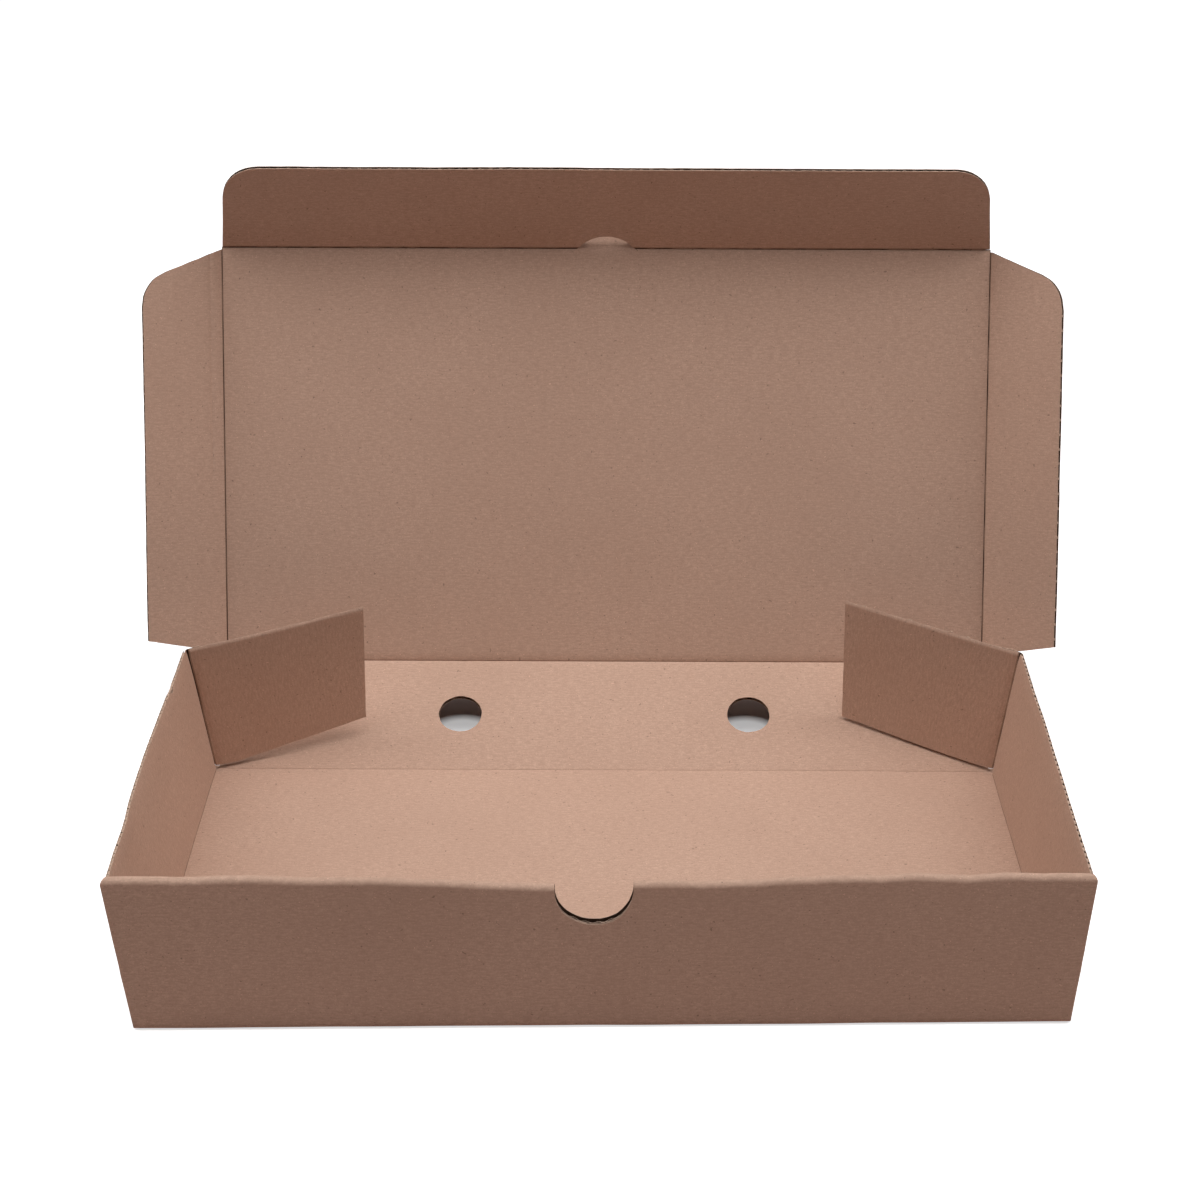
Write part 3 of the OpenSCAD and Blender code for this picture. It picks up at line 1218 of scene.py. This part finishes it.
@dataclass
class Ear:
    """Side flap of the lid, standing inwards.

    Args:
        side: which ear.
        lid: the lid that carries it.
        width: from the fold to the outer edge.
        foot: height of the lower edge at the fold.
        foot_slope: rise of the lower edge.
        head: height of the upper edge at the fold.
        head_slope: fall of the upper edge.
        corner: radius of the upper outer corner.
        curl: length of board curled round the fold's axis.
        score_w: place of the left ear's scored line, from the fold.
    """

    side: Side
    lid: Lid
    width: float = 30 * MM
    foot: float = 3 * MM
    foot_slope: float = math.radians(11)
    head: float = 150.7 * MM
    head_slope: float = math.radians(22)
    corner: float = 13.5 * MM
    curl: float = 1.75 * MM
    score_w: float = 4.6 * MM

    def build(self, finishes: Finishes) -> bpy.types.Object:
        """Builds the ear.

        Args:
            finishes: materials for liners, cut edges, waved sheets painted near-black as shade, and
                fold lines painted with shade.

        Returns:
            The finished object.
        """
        name = self.side.name.lower()
        piece = BoardPiece(f"{name}_ear", finishes)
        flat_lid = self.lid.frame()
        across = flat_lid.along * self.side.value
        lies = self.lid.flap_frame(f"{name}_ear_fold", flat_lid.out, across)
        low = self.foot + self.width * math.tan(self.foot_slope)
        high = self.head - self.width * math.tan(self.head_slope)
        outline = round_corners([
            (0, self.foot, 0), (self.width, low, 0), (self.width, high, self.corner),
            (0, self.head, 0)])
        span = span_of(outline)
        rows = spread(0.0, 1.0, 0.035)
        curled = spread(-self.curl, 0.0, self.curl / 5)
        near_score = [self.score_w + k * 0.35 * MM for k in range(-2, 3)]
        lines = merged(spread(0.0, self.width, 3 * MM),
                       spread(self.width - 6 * MM, self.width, 0.6 * MM),
                       [0.28 * MM, 1.2 * MM, *near_score])

        def patch(inner: bool) -> Mesh:
            """Flat liner of the ear."""
            grid = lay_grid(lines if inner else merged(curled, lines), rows)
            for vert in grid.verts:
                low, high = span(min(self.width, max(0.0, vert.co.x)))
                vert.co.x, vert.co.y = low + (high - low) * vert.co.y, vert.co.x
            rough_edge(grid, 0.12 * MM, self.side.value * (3.5 if inner else 5.5))
            return grid

        def place(flat: Vector) -> Vector:
            """Puts a flat point in place, with the left ear's scored line."""
            score = 0.0
            if self.side is Side.LEFT and flat.z > -0.5 * MM:
                score = 0.3 * MM * hump(flat.y, self.score_w, 0.5 * MM)
                score *= ease((flat.x - 40 * MM) / (50 * MM))
            return lies.place(flat - Vector((0, 0, score)))

        # the fold range gets the painted shade line along the ear's fold
        piece.add_liners(patch, 0.0, place, turned=True, fold=(0.0, 0.4 * MM))

        def limits(w: float) -> Point:
            """Ends of the flutes at one distance from the fold."""
            low, high = span(w)
            return low + 0.2 * MM, high - 0.2 * MM

        piece.add_flutes(limits, (0.6 * MM, self.width - 1.6 * MM), 0.0, lies.place, turned=True)
        low, high = span(self.width - 1e-6)
        gap = 5.5 * MM if self.side is Side.RIGHT else 3.7 * MM
        edge = [(s, self.width - 0.4 * MM) for s in spread(low + 3 * MM, high - 2 * MM, gap)]
        piece.add_ticks(edge, Vector((0.8 * MM, 0.5 * MM, BRIDGE)), 0.0, lies.place)
        return piece.make()


@dataclass
class CornerFlap:
    """Flap at the back edge of a side wall, standing over the leaning back wall.

    Args:
        side: which flap.
        swing: how far it stands past square, to the back.
        foot: height of its level foot above the floor's fold.
        foot_l: length of the level foot.
        low: reach and height of its lower free corner.
        high: reach and height of its upper free corner.
        root: height of its fold.
        curl: length of board curled round the fold's axis.
    """

    side: Side
    swing: float
    low: Point
    high: Point
    foot: float = 2.2 * MM
    foot_l: float = 8.5 * MM
    root: float = 48.75 * MM
    curl: float = 1.9 * MM

    def build(self, finishes: Finishes) -> bpy.types.Object:
        """Builds the flap.

        Args:
            finishes: materials for liners, cut edges, waved sheets painted near-black as shade, and
                fold lines painted with shade.

        Returns:
            The finished object.
        """
        name = self.side.name.lower()
        piece = BoardPiece(f"{name}_corner_flap", finishes, wave=0.5 * MM)
        joint = JOINTS[f"{name}_corner_fold"]
        along = Vector(joint["axis"])
        along *= math.copysign(1.0, along.z)
        back = Vector((0, 1, 0))
        across = Vector((along.z, 0, -along.x))
        across *= math.copysign(1.0, across.x) * self.side.value
        out = back * math.sin(self.swing) - across * math.cos(self.swing)
        normal = -across * math.sin(self.swing) - back * math.cos(self.swing)
        lies = PanelFrame(Vector(joint["pos_m"]), along, out, normal)
        free = [(self.foot, self.foot_l), self.low[::-1], self.high[::-1]]
        outline = [(self.foot, 0.0), *free, (self.root, 0.0)]
        columns = spread(0.0, self.high[1] + 1 * MM, 3 * MM)
        flat_rows = merged(spread(0.0, self.high[0] + 1 * MM, 3 * MM), [0.5 * MM, 1.2 * MM])
        columns = merged(columns, spread(self.root - 2 * MM, self.high[1] + 1 * MM, 0.6 * MM))

        def patch(inner: bool) -> Mesh:
            """Flat liner of the flap."""
            if inner:
                grid = lay_grid(columns, flat_rows)
                corners = outline
            else:
                grid = lay_grid(columns, merged(spread(-self.curl, 0.0, self.curl / 7), flat_rows))
                ends = [(self.root, 0.0), (self.root, -self.curl)]
                corners = [(self.foot, -self.curl), *free, *ends]
            trim(grid, corners)
            rough_edge(grid, 0.14 * MM, self.side.value * (6.5 if inner else 7.5))
            return grid

        def top(reach: float) -> float:
            """Height of the upper edge at a distance from the fold."""
            return self.root + (self.high[1] - self.root) * reach / self.high[0]

        def place(flat: Vector) -> Vector:
            """Puts a flat point in place, crushed along the upper edge."""
            h, reach, c = flat
            middle = -HALF
            crush = crushed(0.5, h, top(reach), 0.8 * MM)
            point = lies.place(Vector((h, reach, middle + (c - middle) * crush)))
            shift = self.side.value * LEAN_BACK[self.side] * h / self.root
            shift *= 1 - ease(reach / (25 * MM))
            return point + Vector((shift, 0, 0))

        # the fold range gets the painted shade line along the corner flap's fold
        piece.add_liners(patch, 0.0, place, fold=(0.0, 0.45 * MM))
        span = span_of(outline)

        def limits(h: float) -> Point:
            """Ends of the flutes at one height."""
            low, high = span(h)
            return low + 0.2 * MM, max(low + 0.3 * MM, high - 0.2 * MM)

        piece.add_flutes(limits, (self.foot + 0.4 * MM, self.root), 0.0, place)
        torn = [2, 3.5] if self.side is Side.LEFT else [1.5, 3, 4.2, 18, 24, 39, 55.8]
        bits = [(top(reach * MM) - 0.05 * MM, reach * MM) for reach in torn]
        piece.add_ticks(bits, Vector((0.7 * MM, 0.9 * MM, 0.7 * MM)), 0.0, place)
        return piece.make()


@dataclass(frozen=True)
class Finish:
    """Look of one surface of the board.

    Args:
        name: material name.
        colour: linear colour.
        shade: darker linear colour that it is mottled with.
        rough: roughness.
        ribs: height of the flutes that show through.
        fuzz: height of the fibres.
    """

    name: str
    colour: Colour
    shade: Colour
    rough: float = 0.9
    ribs: float = 0.0
    fuzz: float = 0.05 * MM


@dataclass
class Nodes:
    """Nodes of one material, each added with what feeds it.

    Args:
        tree: the material's node tree.
    """

    tree: bpy.types.NodeTree

    def feed(self, node: bpy.types.Node, feeds: Feeds) -> None:
        """Sets a node's inputs.

        Args:
            node: the node.
            feeds: a constant or a feeding socket for each input, by name or number.
        """
        for key, value in feeds.items():
            if isinstance(value, Socket):
                self.tree.links.new(value, node.inputs[key])
            else:
                node.inputs[key].default_value = value

    def add(self, kind: str, feeds: Feeds | None = None, **settings: str) -> bpy.types.Node:
        """Adds a node.

        Args:
            kind: its type.
            feeds: a constant or a feeding socket for each input, by name or number.
            settings: its own properties.

        Returns:
            The node.
        """
        node = self.tree.nodes.new(f"ShaderNode{kind}")
        for name, value in settings.items():
            setattr(node, name, value)
        self.feed(node, feeds or {})
        return node

    def ramp(self, value: Socket, limits: Point, most: float = 1.0) -> Socket:
        """Ramp of a value.

        Args:
            value: what is ramped.
            limits: values at which the ramp is 0 and full.
            most: its height.

        Returns:
            The ramp.
        """
        feeds = {"Value": value, "From Min": limits[0], "From Max": limits[1], "To Max": most}
        return self.add("MapRange", feeds).outputs["Result"]

    def sum(self, mode: str, *terms: Socket | float) -> Socket:
        """Result of a sum with one or two terms."""
        return self.add("Math", dict(enumerate(terms)), operation=mode).outputs["Value"]


class Kraft:
    """Maker of the unprinted board's materials."""

    LINER = Finish("kraft_liner", (0.63, 0.415, 0.31), (0.525, 0.335, 0.245), ribs=0.012 * MM)
    CUT = Finish("kraft_cut_edge", (0.66, 0.47, 0.36), (0.48, 0.32, 0.23))
    # painted shade: near-black colour that stands in for the shade inside the flutes
    MEDIUM = Finish("kraft_medium", (0.12, 0.07, 0.045), (0.08, 0.045, 0.03))
    # painted shade: darker colour that stands in for the shade in the pressed folds
    CREASE = Finish("kraft_crease", (0.4, 0.245, 0.17), (0.32, 0.19, 0.13))
    ALONG_FLUTES = (0.22, 1.0, 1.0)
    GLOSS = 0.15

    @classmethod
    def material(cls, finish: Finish) -> bpy.types.Material:
        """Makes one material.

        Args:
            finish: look to make.

        Returns:
            The material.
        """
        material = bpy.data.materials.new(finish.name)
        material.use_nodes = True
        nodes = Nodes(material.node_tree)
        where = nodes.add("TexCoord").outputs["Object"]
        flat = nodes.add("UVMap", uv_map="flat").outputs["UV"]
        stretch = nodes.add("Mapping", {"Vector": flat, "Scale": cls.ALONG_FLUTES})
        laid = stretch.outputs["Vector"]

        def grain(scale: float, detail: float, rough: float, source: Socket = where) -> Socket:
            """Noise over the box, or over the flat board."""
            feeds = {"Vector": source, "Scale": scale, "Detail": detail, "Roughness": rough}
            return nodes.add("TexNoise", feeds).outputs["Fac"]

        def spotted(first: Socket | tuple[float, ...], share: Socket, tone: float,
                    other: Colour) -> Socket:
            """Colour with a share of another one, which is toned down or up."""
            second = (*(min(1.0, tone * v) for v in other), 1.0)
            mix = nodes.add("Mix", data_type="RGBA")
            nodes.feed(mix, {"Factor": share, 6: first, 7: second})
            return mix.outputs[2]

        cloud = nodes.ramp(grain(22, 4, 0.6), (0.35, 0.7), 0.45)
        streak = nodes.ramp(grain(1700, 3, 0.7, laid), (0.38, 0.66), 0.65)
        fibre = nodes.ramp(grain(1500, 3, 0.75), (0.38, 0.68), 0.75)
        fleck = nodes.ramp(grain(1100, 0.5, 0.5), (0.765, 0.79), 0.6)
        dust = nodes.ramp(grain(1500, 0.5, 0.5), (0.73, 0.77), 0.5)
        colour = spotted((*finish.colour, 1.0), cloud, 1.0, finish.shade)
        colour = spotted(colour, streak, 0.82, finish.shade)
        colour = spotted(colour, fibre, 0.85, finish.shade)
        colour = spotted(colour, fleck, 0.35, finish.shade)
        colour = spotted(colour, dust, 1.35, finish.colour)

        fuzz = {"Height": grain(1500, 4, 0.65), "Distance": finish.fuzz, "Strength": 0.6}
        if finish.ribs > 0:
            wave = {"Vector": flat, "Scale": 2 * math.pi / (20 * BOARD.pitch), "Distortion": 0.4,
                    "Detail": 0.0}
            rib = nodes.add("TexWave", wave, bands_direction="X").outputs["Fac"]
            washboard = {"Height": rib, "Distance": finish.ribs, "Strength": 1.0}
            fuzz["Normal"] = nodes.add("Bump", washboard).outputs["Normal"]
        nodes.feed(material.node_tree.nodes["Principled BSDF"], {
            "Base Color": colour, "Normal": nodes.add("Bump", fuzz).outputs["Normal"],
            "Roughness": finish.rough, "Specular IOR Level": cls.GLOSS})
        return material

    @classmethod
    def all(cls) -> list[bpy.types.Material]:
        """The materials in the order of Surface."""
        return [cls.material(look) for look in (cls.LINER, cls.CUT, cls.MEDIUM, cls.CREASE)]


@dataclass(frozen=True)
class Glow:
    """Glow that keeps the ground white, apart from that under the leaning back wall, where only a
    painted pool of light under each vent glows.

    Args:
        strength: glow of the open ground.
        sides: reach to the side over which the ground opens.
        front: y over which it opens to the front.
        behind: y over which it opens to the back.
        spot: middle of the light that falls through each vent.
        spot_r: radius over which that light begins and is full.
        spot_share: its share of the open ground's glow.
        far: y over which the ground far behind gets brighter.
        far_more: how much brighter.
    """

    strength: float = 0.66
    sides: Point = (141 * MM, 152 * MM)
    front: Point = (74 * MM, 70 * MM)
    behind: Point = (135 * MM, 210 * MM)
    # spot: middle of a painted pool of light on the ground under each vent, standing in for the
    # light that falls through it. spot_r: radius over which that painted light begins and is full.
    spot: Point = (52.5 * MM, 104.5 * MM)
    spot_r: Point = (14 * MM, 9 * MM)
    spot_share: float = 0.62
    far: Point = (400 * MM, 1000 * MM)
    far_more: float = 0.16

    def add(self, nodes: Nodes) -> Socket:
        """Adds the glow to a material.

        Args:
            nodes: nodes of the ground's material.

        Returns:
            The strength of the glow.
        """
        where = nodes.add("TexCoord").outputs["Object"]
        split = nodes.add("SeparateXYZ", {"Vector": where}).outputs
        across, along = nodes.sum("ABSOLUTE", split["X"]), split["Y"]
        # painted light: a round glow under each vent stands in for the light that falls through it
        aside = nodes.sum("SUBTRACT", across, self.spot[0])
        beyond = nodes.sum("SUBTRACT", along, self.spot[1])
        squares = [nodes.sum("MULTIPLY", leg, leg) for leg in (aside, beyond)]
        away = nodes.sum("SQRT", nodes.sum("ADD", *squares))
        ground = nodes.sum("MULTIPLY", nodes.ramp(away, self.spot_r), self.spot_share)
        for value, limits in ((across, self.sides), (along, self.front), (along, self.behind)):
            ground = nodes.sum("MAXIMUM", ground, nodes.ramp(value, limits))
        far = nodes.sum("MULTIPLY", nodes.ramp(along, self.far), self.far_more)
        return nodes.sum("ADD", nodes.sum("MULTIPLY", ground, self.strength), far)


@dataclass
class Studio:
    """Pale floor, soft light and camera.

    Args:
        place: camera position.
        pitch: how far the camera looks down.
        yaw: how far it looks to the right.
        roll: how far it is turned about its view.
        lens: focal length on a 36 mm sensor.
        white: linear colour of the lights.
        pale: linear colour of the floor as it is seen.
        dim: linear colour of the floor as it lights the box.
    """

    place: Vector = field(default_factory=lambda: Vector((-0.74, -641.17, 417.91)) * MM)
    pitch: float = math.radians(25.98)
    yaw: float = math.radians(-0.075)
    roll: float = math.radians(0.195)
    lens: float = 69.31
    white: Colour = (1.0, 1.01, 1.03)
    pale: Colour = (0.85, 0.85, 0.85)
    dim: Colour = (0.62, 0.51, 0.48)

    def add_camera(self) -> bpy.types.Object:
        """Adds the camera.

        Returns:
            The camera.
        """
        data = bpy.data.cameras.new("camera")
        data.lens = self.lens
        data.sensor_width = 36
        data.clip_start = 0.01
        camera = put_in_scene("camera", data)
        level = math.cos(self.pitch)
        ahead = Vector((math.sin(self.yaw) * level, math.cos(self.yaw) * level,
                        -math.sin(self.pitch)))
        right = Vector((math.cos(self.yaw), -math.sin(self.yaw), 0))
        up = right.cross(ahead)
        right, up = (math.cos(self.roll) * right + math.sin(self.roll) * up,
                     math.cos(self.roll) * up - math.sin(self.roll) * right)
        turn = Matrix((right, up, -ahead)).transposed().to_4x4()
        camera.matrix_world = Matrix.Translation(self.place) @ turn
        bpy.context.scene.camera = camera
        return camera

    def add_floor(self) -> bpy.types.Object:
        """Adds the pale floor, which keeps a faint shadow.

        Returns:
            The floor.
        """
        bm = bmesh.new()
        bmesh.ops.create_grid(bm, x_segments=1, y_segments=1, size=4.0)
        data = bpy.data.meshes.new("stage_floor")
        bm.to_mesh(data)
        bm.free()
        material = bpy.data.materials.new("stage_floor")
        material.use_nodes = True
        material.node_tree.nodes.clear()
        nodes = Nodes(material.node_tree)
        glow = nodes.add("Emission", {"Strength": Glow().add(nodes)}).outputs[0]
        pale = nodes.add("BsdfDiffuse", {"Color": (*self.pale, 1)}).outputs[0]
        seen = nodes.add("AddShader", {0: glow, 1: pale}).outputs[0]
        dim = nodes.add("BsdfDiffuse", {"Color": (*self.dim, 1)}).outputs[0]
        camera_ray = nodes.add("LightPath").outputs["Is Camera Ray"]
        both = nodes.add("MixShader", {0: camera_ray, 1: dim, 2: seen}).outputs[0]
        nodes.add("OutputMaterial", {"Surface": both})
        data.materials.append(material)
        floor = put_in_scene("stage_floor", data)
        return floor

    def add_light(self, name: str, place: Vector, size: Point, power: float) -> bpy.types.Object:
        """Adds a soft panel of light that points at the box.

        Args:
            name: its name.
            place: where it hangs.
            size: its width and depth.
            power: its power.

        Returns:
            The light.
        """
        data = bpy.data.lights.new(name, "AREA")
        data.shape = "RECTANGLE"
        data.size, data.size_y = size
        data.energy = power
        data.color = self.white
        light = put_in_scene(name, data)
        light.location = place
        light.rotation_euler = (Vector((0, 0, 0)) - place).to_track_quat("-Z", "Y").to_euler()
        return light

    def build(self) -> None:
        """Sets the stage."""
        scene = bpy.context.scene
        scene.view_settings.view_transform = "Standard"
        world = bpy.data.worlds.new("room")
        world.use_nodes = True
        back = world.node_tree.nodes["Background"]
        back.inputs["Color"].default_value = (0.9, 0.95, 1.0, 1)
        back.inputs["Strength"].default_value = 0.01
        scene.world = world
        self.add_floor()
        self.add_camera()
        self.add_light("overhead", Vector((0.0, -0.06, 1.3)), (2.4, 0.74), 21.0)
        for side in Side:
            name = f"{side.name.lower()}_side"
            self.add_light(name, Vector((1.2 * side.value, 0, 0.8)), (0.6, 0.6), 3.7)


def main() -> None:
    """Builds the box and its stage."""
    logging.basicConfig(level=logging.INFO, format="%(name)s %(message)s")
    noise.seed_set(NOISE_SEED)
    finishes = Kraft.all()
    lid = Lid()
    Tray().build(finishes)
    lid.build(finishes)
    TuckFlap(lid).build(finishes)
    for side in Side:
        Ear(side, lid).build(finishes)
    for side in Side:
        CornerFlap(side, SWING[side], *FREE_CORNERS[side]).build(finishes)
    Studio().build()


if __name__ == "__main__":
    main()
